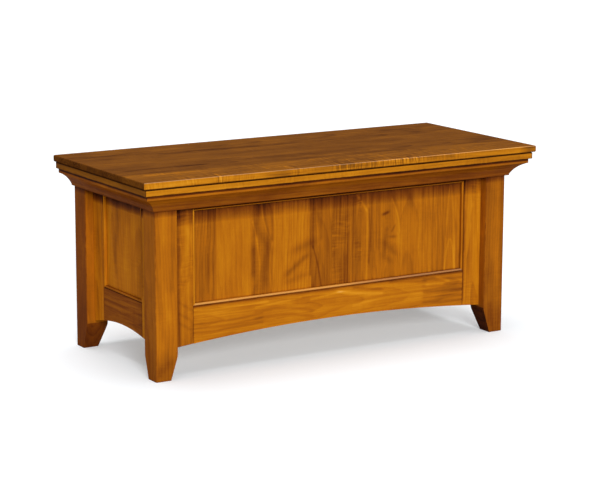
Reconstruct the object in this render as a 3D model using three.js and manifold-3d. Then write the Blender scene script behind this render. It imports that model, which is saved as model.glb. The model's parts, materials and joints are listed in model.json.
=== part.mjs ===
// Blanket chest in stained maple: framed and panelled walls between four posts with tapered feet,
// a cove crown under a stepped top, and a lid that lifts on three hinges along the back.
// Millimetres, +Z up. The front faces -Y, and the origin is on the floor, midway between the
// front of the lid and the back of the hinges.

import * as THREE from 'three';
import { mergeVertices } from 'three/addons/utils/BufferGeometryUtils.js';
import Module from 'manifold-3d';

const wasm = await Module();
wasm.setup();

// Case and posts
const caseWidth = 1100; // across the outer faces of the posts
const caseDepth = 465;
const caseHeight = 494; // floor to the top of the posts
const postWidth = 64;
const footWidth = 43;
const taperHeight = 66; // floor to the break between shaft and foot
const taperEase = 12; // run of the round on each side of that break
const postEdge = 2; // chamfer along the post's four edges
const fit = 0.2; // glue line, or clearance, between neighbours
const overrun = 10; // how far a cutter runs past what it cuts

// Walls
const wallRecess = 24; // face of the posts to the face of the front and end walls
const backRecess = 6;
const wallThickness = 22;
const stileWidth = 58;
const archSpring = 77; // height of the arch at the posts
const archRise = 24;
const openingBottom = 182; // floor to the panel's opening
const topRailWidth = 56; // panel's opening to the top of the case
const panelSetback = 8; // face of the wall to the face of its panel
const panelThickness = 8;
const grooveDepth = 9;
const panelPlay = 2; // room for the panel to swell in its grooves
const beadWidth = 6.5;
const beadDrop = 0.6; // face of the wall to the crest of the bead

// Crown and rim
const crownHeight = 49;
const crownLip = 3; // upright edge under the cove
const crownFoot = 8; // reach of that edge from the post
const crownReach = 45.5; // reach of the fillet over the cove
const crownFillet = 12;
const coveRadius = 63;
const rimReach = 53;
const rimThickness = 18;
const rimEdge = 2;

// Lid
const lidOverhang = 60;
const lidThickness = 18;
const lidEdge = 3;
const lidGap = 1.5; // rim to lid
const battenWidth = 60;
const battenThickness = 18;
const battenInset = 26; // end of a batten to the rim's inner edge
const battenChamfer = 8;
const battenShare = 0.55; // place of the battens along half the lid

// Floor
const cleatSize = 18;
const cleatRise = 4; // crown of the arch to the bottom of the cleats
const cleatInset = 12; // end of a cleat to the post
const floorThickness = 10;

// Hinges
const leafLength = 76; // along the pin
const leafDepth = 46; // on the wood, from its back edge
const leafThickness = 2.5;
const knuckleRadius = 6.5;
const knuckleGap = 0.4;
const pinRadius = 3;
const pinPlay = 0.15;
const pinHeadRadius = 5;
const pinHeadHeight = 1.8;
const pinOffset = 7; // back of the case to the pin's axis
const hingeShares = [-0.72, 0, 0.72]; // places of the hinges along half the case
const hingeNames = ['left', 'middle', 'right'];
const screwRadius = 2.2;
const screwHeadRadius = 4.2;
const screwEnd = 13; // end of a leaf to its screws
const screwInner = 10; // inner edge of a leaf to its inner screws
const screwOuter = 15; // back edge of the wood to its outer screws

// Bumpers
const bumperRadius = 6;
const bumperRest = 0.3; // bumper to lid
const bumperInset = 30; // rim's outer edge to the bumper's middle

// Roundness of what is turned or arched
const archSteps = 24;
const edgeSteps = 3;
const coveSteps = 8;
const barrelSides = 24;
const screwSides = 16;
const knucklesPerHinge = 5;

const halfCase = caseWidth / 2;
const halfDepth = caseDepth / 2;
const openingTop = caseHeight - topRailWidth;
const panelBack = panelSetback + panelThickness;
const crownBottom = caseHeight - crownHeight;
const rimTop = caseHeight + rimThickness;
const lidBottom = rimTop + lidGap;
const rightAngle = Math.PI / 2;

const maple = new THREE.MeshStandardMaterial({ color: 0xb4741c, roughness: 0.45 });
const panelMaple = new THREE.MeshStandardMaterial({ color: 0xb87018, roughness: 0.42 });
const topMaple = new THREE.MeshStandardMaterial({ color: 0xc98524, roughness: 0.38 });
const innerMaple = new THREE.MeshStandardMaterial({ color: 0xc9a06a, roughness: 0.6 });
const bronze = new THREE.MeshStandardMaterial({ color: 0x6d5433, roughness: 0.4, metalness: 1 });
const felt = new THREE.MeshStandardMaterial({ color: 0x4a3a2c, roughness: 0.95 });

function solidOf(geometry) {
  const bare = geometry.clone();
  bare.deleteAttribute('normal');
  bare.deleteAttribute('uv');
  const merged = mergeVertices(bare);
  return new wasm.Manifold(new wasm.Mesh({
    numProp: 3,
    vertProperties: merged.attributes.position.array,
    triVerts: new Uint32Array(merged.index.array),
  }));
}

function geometryOf(solid) {
  const mesh = solid.getMesh();
  const geometry = new THREE.BufferGeometry();
  geometry.setAttribute('position', new THREE.BufferAttribute(mesh.vertProperties, 3));
  geometry.setIndex(new THREE.BufferAttribute(mesh.triVerts, 1));
  const faceted = geometry.toNonIndexed();
  faceted.computeVertexNormals();
  return faceted;
}

function piece(name, geometry, material) {
  const mesh = new THREE.Mesh(geometry, material);
  mesh.name = name;
  return mesh;
}

function blockGeometry(low, high) {
  const size = high.map((value, axis) => value - low[axis]);
  const middle = high.map((value, axis) => (value + low[axis]) / 2);
  return new THREE.BoxGeometry(...size).translate(...middle);
}

function block(low, high) {
  return solidOf(blockGeometry(low, high));
}

// An outline in the plane across an axis, drawn out along that axis.
// The outline's two coordinates are the other two axes, in the order x, y, z.
const directions = {
  x: [new THREE.Vector3(0, 1, 0), new THREE.Vector3(0, 0, 1), new THREE.Vector3(1, 0, 0)],
  y: [new THREE.Vector3(1, 0, 0), new THREE.Vector3(0, 0, 1), new THREE.Vector3(0, -1, 0)],
  z: [new THREE.Vector3(1, 0, 0), new THREE.Vector3(0, 1, 0), new THREE.Vector3(0, 0, 1)],
};

function prism(outline, axis, from, to) {
  const shape = new THREE.Shape(outline.map(([p, q]) => new THREE.Vector2(p, q)));
  const geometry = new THREE.ExtrudeGeometry(shape, { depth: to - from, bevelEnabled: false });
  const [right, up, out] = directions[axis];
  const start = axis === 'y' ? -to : from;
  geometry.translate(0, 0, start);
  return solidOf(geometry.applyMatrix4(new THREE.Matrix4().makeBasis(right, up, out)));
}

// A moulding along X with its section in the YZ plane. startAt and endAt say where each point of
// the section begins and ends, so that either end can be square or mitred.
function moulding(section, startAt, endAt) {
  const shape = new THREE.Shape(section.map(([y, z]) => new THREE.Vector2(y, z)));
  const geometry = new THREE.ExtrudeGeometry(shape, { depth: 1, bevelEnabled: false });
  const place = geometry.attributes.position;
  for (let i = 0; i < place.count; i += 1) {
    const y = place.getX(i);
    const z = place.getY(i);
    const x = place.getZ(i) < 0.5 ? startAt(y, z) : endAt(y, z);
    place.setXYZ(i, x, y, z);
  }
  geometry.computeVertexNormals();
  return geometry;
}

// Points on a round between two directions, angles from +Y towards +Z
function round(centre, radius, fromAngle, toAngle, steps) {
  const points = [];
  for (let i = 0; i <= steps; i += 1) {
    const angle = fromAngle + ((toAngle - fromAngle) * i) / steps;
    points.push([centre[0] + radius * Math.cos(angle), centre[1] + radius * Math.sin(angle)]);
  }
  return points;
}

// Posts

// Side view of a post, as distance in from its outer face against height
function postOutline() {
  const slope = Math.atan((postWidth - footWidth) / taperHeight);
  const easeRadius = taperEase / Math.tan(slope / 2);
  const easeCentre = [postWidth - easeRadius, taperHeight + taperEase];
  return [
    [0, 0],
    [footWidth, 0],
    ...round(easeCentre, easeRadius, -slope, 0, edgeSteps + 1),
    [postWidth, caseHeight],
    [0, caseHeight],
  ];
}

function post(name, sideX, sideY) {
  const outline = postOutline();
  const outerX = sideX * halfCase;
  const outerY = sideY * halfDepth;
  const innerX = outerX - sideX * postWidth;
  const innerY = outerY - sideY * postWidth;
  const spanX = [Math.min(outerX, innerX), Math.max(outerX, innerX)];
  const spanY = [Math.min(outerY, innerY), Math.max(outerY, innerY)];
  const taperX = prism(outline.map(([inward, z]) => [outerX - sideX * inward, z]), 'y', ...spanY);
  const taperY = prism(outline.map(([inward, z]) => [outerY - sideY * inward, z]), 'x', ...spanX);
  const shaft = prism([
    [spanX[0] + postEdge, spanY[0]],
    [spanX[1] - postEdge, spanY[0]],
    [spanX[1], spanY[0] + postEdge],
    [spanX[1], spanY[1] - postEdge],
    [spanX[1] - postEdge, spanY[1]],
    [spanX[0] + postEdge, spanY[1]],
    [spanX[0], spanY[1] - postEdge],
    [spanX[0], spanY[0] + postEdge],
  ], 'z', 0, caseHeight);
  return piece(name, geometryOf(taperX.intersect(taperY).intersect(shaft)), maple);
}

// Walls. Each is drawn as if it were the front one: X along the wall, Y inwards from its face.

function archHeight(u, halfSpan, rise) {
  return archSpring + rise * (1 - (u / halfSpan) ** 2);
}

// The underside of a wall between two places, from left to right
function archPoints(from, to, halfSpan, rise) {
  const points = [];
  const steps = rise > 0 ? Math.max(2, Math.round((archSteps * (to - from)) / (2 * halfSpan))) : 1;
  for (let i = 0; i <= steps; i += 1) {
    const u = from + ((to - from) * i) / steps;
    points.push([u, archHeight(u, halfSpan, rise)]);
  }
  return points;
}

function stile(name, side, halfSpan, rise) {
  const outer = side * (halfSpan - fit);
  const inner = side * (halfSpan - stileWidth);
  const [from, to] = [Math.min(outer, inner), Math.max(outer, inner)];
  const outline = [...archPoints(from, to, halfSpan, rise), [to, caseHeight], [from, caseHeight]];
  const grooveFloor = inner + side * grooveDepth;
  const grooveMouth = inner - side * overrun;
  const groove = block(
    [Math.min(grooveFloor, grooveMouth), panelSetback, 0],
    [Math.max(grooveFloor, grooveMouth), panelBack, caseHeight + overrun],
  );
  return piece(name, geometryOf(prism(outline, 'y', 0, wallThickness).subtract(groove)), maple);
}

// A rail between the stiles, with a stub tenon at each end and a groove for the panel
function grooved(outlineAt, halfSpan, grooveFrom, grooveTo) {
  const shoulder = halfSpan - stileWidth - fit;
  const tenonEnd = halfSpan - stileWidth + grooveDepth - fit;
  const body = prism(outlineAt(shoulder), 'y', 0, wallThickness);
  const tenons = prism(outlineAt(tenonEnd), 'y', panelSetback + fit, panelBack - fit);
  const groove = block([-halfSpan, panelSetback, grooveFrom], [halfSpan, panelBack, grooveTo]);
  return body.add(tenons).subtract(groove);
}

function bottomRail(name, halfSpan, rise) {
  const outlineAt = (end) => [
    ...archPoints(-end, end, halfSpan, rise),
    [end, openingBottom],
    [-end, openingBottom],
  ];
  const grooveBottom = openingBottom - grooveDepth;
  const solid = grooved(outlineAt, halfSpan, grooveBottom, openingBottom + overrun);
  return piece(name, geometryOf(solid), maple);
}

// Behind a crown, the top rail thickens out to the face of the posts and runs from post to post
function crownBacking(halfSpan, recess) {
  const bottom = crownBottom + crownLip;
  const shoulder = halfSpan - stileWidth - fit;
  const core = block([-shoulder, -recess, bottom], [shoulder, wallThickness, caseHeight]);
  const face = block([fit - halfSpan, -recess, bottom], [halfSpan - fit, -fit, caseHeight]);
  return core.add(face);
}

function topRail(name, halfSpan, recess, crowned) {
  const outlineAt = (end) => [
    [-end, openingTop],
    [end, openingTop],
    [end, caseHeight],
    [-end, caseHeight],
  ];
  let solid = grooved(outlineAt, halfSpan, openingTop - overrun, openingTop + grooveDepth);
  if (crowned) solid = solid.add(crownBacking(halfSpan, recess));
  return piece(name, geometryOf(solid), maple);
}

function panel(name, halfSpan) {
  const reach = grooveDepth - panelPlay;
  const half = halfSpan - stileWidth + reach;
  return piece(name, blockGeometry(
    [-half, panelSetback + fit, openingBottom - reach],
    [half, panelBack - fit, openingTop + reach],
  ), panelMaple);
}

// Section of the bead as depth from the wall's face against distance from the opening's edge
function beadSection() {
  const radius = beadWidth / 2 - fit;
  const crest = [beadDrop + radius, fit + radius];
  return [
    [panelSetback, fit],
    ...round(crest, radius, -rightAngle, -3 * rightAngle, 2 * edgeSteps + 2),
    [panelSetback, beadWidth - fit],
  ];
}

function bead(name, halfLength) {
  const end = (depth, inward) => halfLength - inward - fit;
  const start = (depth, inward) => -end(depth, inward);
  return piece(name, moulding(beadSection(), start, end), maple);
}

function beads(prefix, sides, halfSpan) {
  const group = new THREE.Group();
  const halfWidth = halfSpan - stileWidth;
  const halfHeight = (openingTop - openingBottom) / 2;
  const middle = (openingTop + openingBottom) / 2;
  const strips = [
    ['bottom', halfWidth, 0, 0, -halfHeight],
    [sides[0], halfHeight, rightAngle, -halfWidth, 0],
    ['top', halfWidth, 2 * rightAngle, 0, halfHeight],
    [sides[1], halfHeight, -rightAngle, halfWidth, 0],
  ];
  for (const [side, halfLength, turn, x, z] of strips) {
    const strip = bead(`${prefix}_bead_${side}`, halfLength);
    strip.rotation.y = turn;
    strip.position.set(x, 0, middle + z);
    group.add(strip);
  }
  return group;
}

// sides names the wall's two ends, from -X to +X as it is drawn
function wall(prefix, sides, halfSpan, recess, rise, crowned) {
  const group = new THREE.Group();
  group.add(
    stile(`${prefix}_stile_${sides[0]}`, -1, halfSpan, rise),
    stile(`${prefix}_stile_${sides[1]}`, 1, halfSpan, rise),
    bottomRail(`${prefix}_rail_bottom`, halfSpan, rise),
    topRail(`${prefix}_rail_top`, halfSpan, recess, crowned),
    panel(`${prefix}_panel`, halfSpan),
  );
  if (crowned) group.add(beads(prefix, sides, halfSpan));
  return group;
}

// Crown, in the same frame as the walls but with Y from the posts' face: outwards is -Y

function crownSection() {
  const lipTop = crownBottom + crownLip;
  const filletBottom = caseHeight - crownFillet;
  const chord = new THREE.Vector2(crownFoot - crownReach, filletBottom - lipTop);
  const halfChord = chord.length() / 2;
  const setback = Math.sqrt(Math.max(coveRadius ** 2 - halfChord ** 2, 0));
  const middle = [-(crownFoot + crownReach) / 2, (lipTop + filletBottom) / 2];
  const normal = [-chord.y / (2 * halfChord), chord.x / (2 * halfChord)];
  const centre = [middle[0] + normal[0] * setback, middle[1] + normal[1] * setback];
  const angleTo = (y, z) => Math.atan2(z - centre[1], y - centre[0]);
  const radius = Math.hypot(halfChord, setback);
  return [
    [-fit, crownBottom],
    [-fit, caseHeight],
    [-crownReach, caseHeight],
    ...round(centre, radius, angleTo(-crownReach, filletBottom), angleTo(-crownFoot, lipTop), coveSteps),
    [-crownFoot, crownBottom],
  ];
}

function rimSection() {
  const bottom = caseHeight + fit;
  return [
    [postWidth - fit, bottom],
    [postWidth - fit, rimTop],
    ...round([rimEdge - rimReach, rimTop - rimEdge], rimEdge, rightAngle, 2 * rightAngle, edgeSteps),
    ...round([rimEdge - rimReach, bottom + rimEdge], rimEdge, 2 * rightAngle, 3 * rightAngle, edgeSteps),
  ];
}

// A strip of the crown or the rim along a side of the case, mitred where mitredStart or mitredEnd
// says and square, flush with the posts, where it doesn't
function sideStrip(name, section, half, mitredStart, mitredEnd, material) {
  const startAt = (y) => (mitredStart ? y - half + fit : -half);
  const endAt = (y) => (mitredEnd ? half - y - fit : half);
  return piece(name, moulding(section, startAt, endAt), material);
}

function hingePlaces() {
  return hingeShares.map((share) => share * halfCase);
}

// Cut for a hinge leaf, in the frame of the whole case
function leafMortise(x, low, high) {
  return block(
    [x - leafLength / 2 - fit, halfDepth - leafDepth - fit, low],
    [x + leafLength / 2 + fit, halfDepth + overrun, high],
  );
}

function rearRim() {
  const half = halfCase - postWidth - fit;
  let solid = block(
    [-half, halfDepth - postWidth, caseHeight + fit],
    [half, halfDepth, rimTop],
  );
  for (const x of hingePlaces()) {
    solid = solid.subtract(leafMortise(x, rimTop - leafThickness - fit, rimTop + overrun));
  }
  return piece('rim_rear', geometryOf(solid), topMaple);
}

// Floor and its cleats

function floorParts() {
  const wallDepth = wallRecess + wallThickness;
  const backDepth = backRecess + wallThickness;
  const cleatBottom = archSpring + archRise + cleatRise;
  const floorBottom = cleatBottom + cleatSize + fit;
  const endX = halfCase - wallDepth - fit;
  const notchX = halfCase - postWidth - fit;
  const frontY = wallDepth - halfDepth + fit;
  const notchFrontY = postWidth - halfDepth + fit;
  const backY = halfDepth - backDepth - fit;
  const notchBackY = halfDepth - postWidth - fit;
  const rightHalf = [
    [notchX, frontY],
    [notchX, notchFrontY],
    [endX, notchFrontY],
    [endX, notchBackY],
    [notchX, notchBackY],
    [notchX, backY],
  ];
  const leftHalf = rightHalf.map(([x, y]) => [-x, y]).reverse();
  const board = prism([...rightHalf, ...leftHalf], 'z', floorBottom, floorBottom + floorThickness);
  const cleatEnd = halfCase - postWidth - cleatInset;
  const cleatTop = cleatBottom + cleatSize;
  const group = new THREE.Group();
  group.add(
    piece('floor_panel', geometryOf(board), innerMaple),
    piece('floor_cleat_front', blockGeometry(
      [-cleatEnd, frontY, cleatBottom],
      [cleatEnd, frontY + cleatSize, cleatTop],
    ), innerMaple),
    piece('floor_cleat_rear', blockGeometry(
      [-cleatEnd, backY - cleatSize, cleatBottom],
      [cleatEnd, backY, cleatTop],
    ), innerMaple),
  );
  return group;
}

// Lid

function lidPanel() {
  const halfLid = halfCase + lidOverhang;
  const shape = new THREE.Shape([
    new THREE.Vector2(-halfLid, -halfDepth - lidOverhang),
    new THREE.Vector2(halfLid, -halfDepth - lidOverhang),
    new THREE.Vector2(halfLid, halfDepth),
    new THREE.Vector2(-halfLid, halfDepth),
  ]);
  const slab = new THREE.ExtrudeGeometry(shape, {
    depth: lidThickness - 2 * lidEdge,
    bevelEnabled: true,
    bevelThickness: lidEdge,
    bevelSize: lidEdge,
    bevelOffset: -lidEdge,
    bevelSegments: edgeSteps,
  }).translate(0, 0, lidBottom + lidEdge);
  let solid = solidOf(slab);
  for (const x of hingePlaces()) {
    solid = solid.subtract(leafMortise(x, lidBottom - overrun, lidBottom + leafThickness + fit));
  }
  return piece('lid_panel', geometryOf(solid), topMaple);
}

function batten(name, side) {
  const top = lidBottom - fit;
  const bottom = top - battenThickness;
  const end = halfDepth - postWidth - battenInset;
  const outline = [
    [-end, top],
    [-end, bottom + battenChamfer],
    [battenChamfer - end, bottom],
    [end - battenChamfer, bottom],
    [end, bottom + battenChamfer],
    [end, top],
  ];
  const middle = side * battenShare * halfCase;
  const board = prism(outline, 'x', middle - battenWidth / 2, middle + battenWidth / 2);
  return piece(name, geometryOf(board), maple);
}

// Hinges, drawn round the pin's axis: X along the pin, -Y towards the case

function barrel(radius, from, to) {
  const cylinder = new THREE.CylinderGeometry(radius, radius, to - from, barrelSides);
  return solidOf(cylinder.rotateZ(rightAngle).translate((from + to) / 2, 0, 0));
}

// A screw's hole through a leaf, with its cone open on the face at near
function screwHole(x, y, near, side) {
  const sink = screwHeadRadius - screwRadius;
  const cone = new THREE.CylinderGeometry(screwHeadRadius + fit, screwRadius, sink + fit, screwSides);
  const shank = new THREE.CylinderGeometry(screwRadius, screwRadius, leafThickness + 2 * fit, screwSides);
  cone.rotateX(-side * rightAngle).translate(x, y, near + (side * (sink - fit)) / 2);
  shank.rotateX(rightAngle).translate(x, y, near + (side * leafThickness) / 2);
  return solidOf(cone).add(solidOf(shank));
}

// side is 1 for the lid's leaf and -1 for the case's
function leaf(name, side) {
  const step = leafLength / knucklesPerHinge;
  const near = (side * lidGap) / 2;
  const far = near + side * leafThickness;
  let solid = block(
    [-leafLength / 2, -pinOffset - leafDepth, Math.min(near, far)],
    [leafLength / 2, 0, Math.max(near, far)],
  );
  for (const x of [screwEnd - leafLength / 2, leafLength / 2 - screwEnd]) {
    for (const y of [screwInner - leafDepth - pinOffset, -pinOffset - screwOuter]) {
      solid = solid.subtract(screwHole(x, y, near, side));
    }
  }
  for (let i = 0; i < knucklesPerHinge; i += 1) {
    const from = i * step - leafLength / 2;
    const isOwn = (i % 2 === 0) === (side < 0);
    solid = isOwn
      ? solid.add(barrel(knuckleRadius, from, from + step))
      : solid.subtract(barrel(knuckleRadius + knuckleGap, from - knuckleGap, from + step + knuckleGap));
  }
  const bore = barrel(pinRadius + pinPlay, -leafLength / 2 - overrun, leafLength / 2 + overrun);
  return piece(name, geometryOf(solid.subtract(bore)), bronze);
}

function pin(name) {
  const end = leafLength / 2 + fit;
  const shaft = barrel(pinRadius, -end, end);
  const heads = [-1, 1].map((side) => {
    const near = side * end;
    const far = near + side * pinHeadHeight;
    return barrel(pinHeadRadius, Math.min(near, far), Math.max(near, far));
  });
  return piece(name, geometryOf(shaft.add(heads[0]).add(heads[1])), bronze);
}

function hinge(place, x) {
  const group = new THREE.Group();
  group.add(
    leaf(`hinge_${place}_case_leaf`, -1),
    leaf(`hinge_${place}_lid_leaf`, 1),
    pin(`hinge_${place}_pin`),
  );
  group.position.set(x, halfDepth + pinOffset, rimTop + lidGap / 2);
  return group;
}

function bumper(name, side) {
  const height = lidGap - bumperRest - fit;
  const disc = new THREE.CylinderGeometry(bumperRadius, bumperRadius, height, barrelSides);
  const mesh = piece(name, disc.rotateX(rightAngle), felt);
  mesh.position.set(
    side * (halfCase + rimReach - bumperInset),
    bumperInset - halfDepth - rimReach,
    rimTop + fit + height / 2,
  );
  return mesh;
}

// Assembly

function atSide(group, turn, x, y) {
  group.rotation.z = turn;
  group.position.set(x, y, 0);
  return group;
}

const openX = halfCase - postWidth;
const openY = halfDepth - postWidth;
const frontWall = wall('front', ['left', 'right'], openX, wallRecess, archRise, true);
const leftWall = wall('left', ['rear', 'front'], openY, wallRecess, archRise, true);
const rightWall = wall('right', ['front', 'rear'], openY, wallRecess, archRise, true);
const backWall = wall('back', ['right', 'left'], openX, backRecess, 0, false);

const chest = new THREE.Group();
chest.name = 'blanket_chest';
chest.position.y = (lidOverhang - pinOffset - knuckleRadius) / 2;

chest.add(
  post('post_front_left', -1, -1),
  post('post_front_right', 1, -1),
  post('post_rear_left', -1, 1),
  post('post_rear_right', 1, 1),
  atSide(frontWall, 0, 0, wallRecess - halfDepth),
  atSide(leftWall, -rightAngle, wallRecess - halfCase, 0),
  atSide(rightWall, rightAngle, halfCase - wallRecess, 0),
  atSide(backWall, 2 * rightAngle, 0, halfDepth - backRecess),
);

const strips = [
  ['crown', crownSection(), maple],
  ['rim', rimSection(), topMaple],
];
for (const [kind, section, material] of strips) {
  const front = sideStrip(`${kind}_front`, section, halfCase, true, true, material);
  const left = sideStrip(`${kind}_left`, section, halfDepth, false, true, material);
  const right = sideStrip(`${kind}_right`, section, halfDepth, true, false, material);
  chest.add(
    atSide(front, 0, 0, -halfDepth),
    atSide(left, -rightAngle, -halfCase, 0),
    atSide(right, rightAngle, halfCase, 0),
  );
}
chest.add(rearRim(), floorParts());
chest.add(lidPanel(), batten('lid_batten_left', -1), batten('lid_batten_right', 1));
chest.add(bumper('bumper_left', -1), bumper('bumper_right', 1));
hingePlaces().forEach((x, i) => chest.add(hinge(hingeNames[i], x)));

export default chest;
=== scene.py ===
import json
import math
import random

import bmesh
import bpy
import numpy as np
from mathutils import Matrix, Vector


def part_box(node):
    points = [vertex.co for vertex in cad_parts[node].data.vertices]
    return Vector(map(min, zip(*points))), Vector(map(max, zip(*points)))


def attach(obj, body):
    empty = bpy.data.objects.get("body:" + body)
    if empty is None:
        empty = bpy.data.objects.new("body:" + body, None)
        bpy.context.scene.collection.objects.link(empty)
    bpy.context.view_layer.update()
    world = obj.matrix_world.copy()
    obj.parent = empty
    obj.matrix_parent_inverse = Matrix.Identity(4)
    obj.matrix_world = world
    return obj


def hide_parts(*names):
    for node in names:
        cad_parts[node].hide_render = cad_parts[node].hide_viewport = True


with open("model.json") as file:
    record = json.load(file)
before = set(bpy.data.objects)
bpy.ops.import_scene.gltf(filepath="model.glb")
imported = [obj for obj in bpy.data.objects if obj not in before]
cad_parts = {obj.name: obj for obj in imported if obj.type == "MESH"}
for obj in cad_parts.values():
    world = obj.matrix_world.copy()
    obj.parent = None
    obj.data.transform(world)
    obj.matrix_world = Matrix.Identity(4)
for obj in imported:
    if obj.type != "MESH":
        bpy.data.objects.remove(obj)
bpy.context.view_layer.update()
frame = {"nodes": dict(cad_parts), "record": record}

# A blanket chest in stained maple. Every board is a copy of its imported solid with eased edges,
# and carries its own grain. Metres throughout.
nodes = frame["nodes"]
record = frame["record"]
bodyOf = {name: body for body, names in record["behaviour"]["bodies"].items() for name in names}
slotOf = {row["node"]: row["material_slot"] for row in record["subparts"]}
mm = 0.001
print("frame loaded:", len(nodes), "solids")


# Camera

photoView = {
    "turn": 31.72,  # degrees round from the front, towards the left end
    "tilt": 11.60,
    "roll": 0.20,
    "distance": 5.753,
    "aimHeight": 0.270,
    "slideRight": 0.01995,
    "slideUp": -0.02121,
    "focalPixels": 2085.2,
    "photoWidth": 600,
    "sensor": 36.0,
    "clipEnd": 100,
}


def caseMiddle(height):
    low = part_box("post_front_left")[0]
    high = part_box("post_rear_right")[1]
    return Vector(((low.x + high.x) / 2, (low.y + high.y) / 2, height))


def direction(turn, rise):  # turned from the front towards the right end, and raised
    return Vector((
        math.sin(turn) * math.cos(rise),
        -math.cos(turn) * math.cos(rise),
        math.sin(rise),
    ))


def addToScene(name, data):
    thing = bpy.data.objects.new(name, data)
    bpy.context.scene.collection.objects.link(thing)
    return thing


def placeCamera(view):
    turn, tilt, roll = (math.radians(view[key]) for key in ("turn", "tilt", "roll"))
    back = direction(-turn, tilt)
    level = Vector((math.cos(turn), -math.sin(turn), 0))
    rise = back.cross(level)
    right = level * math.cos(roll) + rise * math.sin(roll)
    up = rise * math.cos(roll) - level * math.sin(roll)
    aim = caseMiddle(view["aimHeight"]) + right * view["slideRight"] + up * view["slideUp"]
    lens = bpy.data.cameras.new("photo_camera")
    lens.sensor_fit = "HORIZONTAL"
    lens.sensor_width = view["sensor"]
    lens.lens = view["focalPixels"] * view["sensor"] / view["photoWidth"]
    lens.clip_end = view["clipEnd"]
    camera = addToScene("photo_camera", lens)
    camera.matrix_world = Matrix((right, up, back)).transposed().to_4x4()
    camera.location = aim + back * view["distance"]
    bpy.context.scene.camera = camera


placeCamera(photoView)
bpy.context.scene.view_settings.view_transform = "Standard"
print("camera placed")


# Node trees

def feed(tree, socket, value):
    if isinstance(value, bpy.types.NodeSocket):
        tree.links.new(value, socket)
    else:
        socket.default_value = value


def feedAll(tree, node, sockets):
    for name, value in sockets.items():
        feed(tree, node.inputs[name], value)


def addNode(tree, kind, sockets=None, **settings):
    node = tree.nodes.new(kind)
    for name, value in settings.items():
        setattr(node, name, value)
    feedAll(tree, node, sockets or {})
    return node


def combine(tree, **parts):
    return addNode(tree, "ShaderNodeCombineXYZ", parts).outputs[0]


def separate(tree, vector):
    return addNode(tree, "ShaderNodeSeparateXYZ", {"Vector": vector}).outputs


def calc(tree, operation, *values):
    node = addNode(tree, "ShaderNodeMath", operation=operation)
    for socket, value in zip(node.inputs, values):
        feed(tree, socket, value)
    return node.outputs[0]


def vectorCalc(tree, operation, *values):
    node = addNode(tree, "ShaderNodeVectorMath", operation=operation)
    for socket, value in zip(node.inputs, values):
        feed(tree, socket, value)
    return node.outputs["Value" if operation == "LENGTH" else "Vector"]


def ease(tree, value, low, high, start=0.0, end=1.0):
    node = addNode(tree, "ShaderNodeMapRange", interpolation_type="SMOOTHSTEP")
    for name, amount in zip(("Value", "From Min", "From Max", "To Min", "To Max"),
                            (value, low, high, start, end)):
        feed(tree, node.inputs[name], amount)
    return node.outputs["Result"]


def stretchedNoise(tree, place, stretch, detail=2.0, roughness=0.5):
    scaled = vectorCalc(tree, "MULTIPLY", place, stretch)
    node = addNode(tree, "ShaderNodeTexNoise", {
        "Vector": scaled, "Scale": 1.0, "Detail": detail, "Roughness": roughness,
    })
    return node.outputs["Fac"]


def colourRamp(tree, value, stops):
    node = addNode(tree, "ShaderNodeValToRGB", {"Fac": value})
    ramp = node.color_ramp
    while len(ramp.elements) < len(stops):
        ramp.elements.new(0.5)
    for element, (place, colour) in zip(ramp.elements, stops):
        element.position = place
        element.color = (*colour, 1)
    return node.outputs["Color"]


def relief(tree, height, strength, depth):
    bump = addNode(tree, "ShaderNodeBump", {"Height": height, "Strength": strength, "Distance": depth})
    return bump.outputs["Normal"]


def newMaterial(name):
    material = bpy.data.materials.new(name)
    material.use_nodes = True
    return material, material.node_tree, material.node_tree.nodes["Principled BSDF"]


def newGroup(name, inputs, outputs):
    group = bpy.data.node_groups.new(name, "ShaderNodeTree")
    for label, default in inputs.items():
        kind = "NodeSocketFloat" if isinstance(default, float) else "NodeSocketVector"
        socket = group.interface.new_socket(label, in_out="INPUT", socket_type=kind)
        socket.default_value = default
    for label in outputs:
        group.interface.new_socket(label, in_out="OUTPUT", socket_type="NodeSocketFloat")
    entry = group.nodes.new("NodeGroupInput")
    return group, entry.outputs, group.nodes.new("NodeGroupOutput").inputs


def useGroup(tree, group, sockets):
    return addNode(tree, "ShaderNodeGroup", sockets, node_tree=group).outputs


def attribute(tree, name):
    return addNode(tree, "ShaderNodeAttribute", attribute_name=name).outputs


# Shared effects. "Grain" is (along, across from the heart, depth under the heart) in metres.

noises = {  # how fast each pattern changes along, across and in depth
    "bend": (5, 16, 16), "streaks": (1.6, 130, 130), "fibres": (14, 620, 620), "pores": (110, 1500, 1500),
    "wave": (9, 26, 26), "curl": (210, 20, 20), "patch": (9, 14, 14), "blotch": (7, 18, 18),
}
figureRules = {
    "shift": {"X": 7.31, "Y": 3.17, "Z": 5.53},  # from seed to seed
    "bend": 22 * mm,  # how far the rings stray
    "lateWood": 3.0,  # how sharply a ring darkens
    "earlyWood": (0.0, 0.16),  # the share of the next ring in which it pales again
    "pores": (0.60, 0.74),  # the noise that makes none, and a full one
    "wave": 14 * mm,  # how far the curl strays along the board
    "patch": (0.42, 0.62),
}


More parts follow.
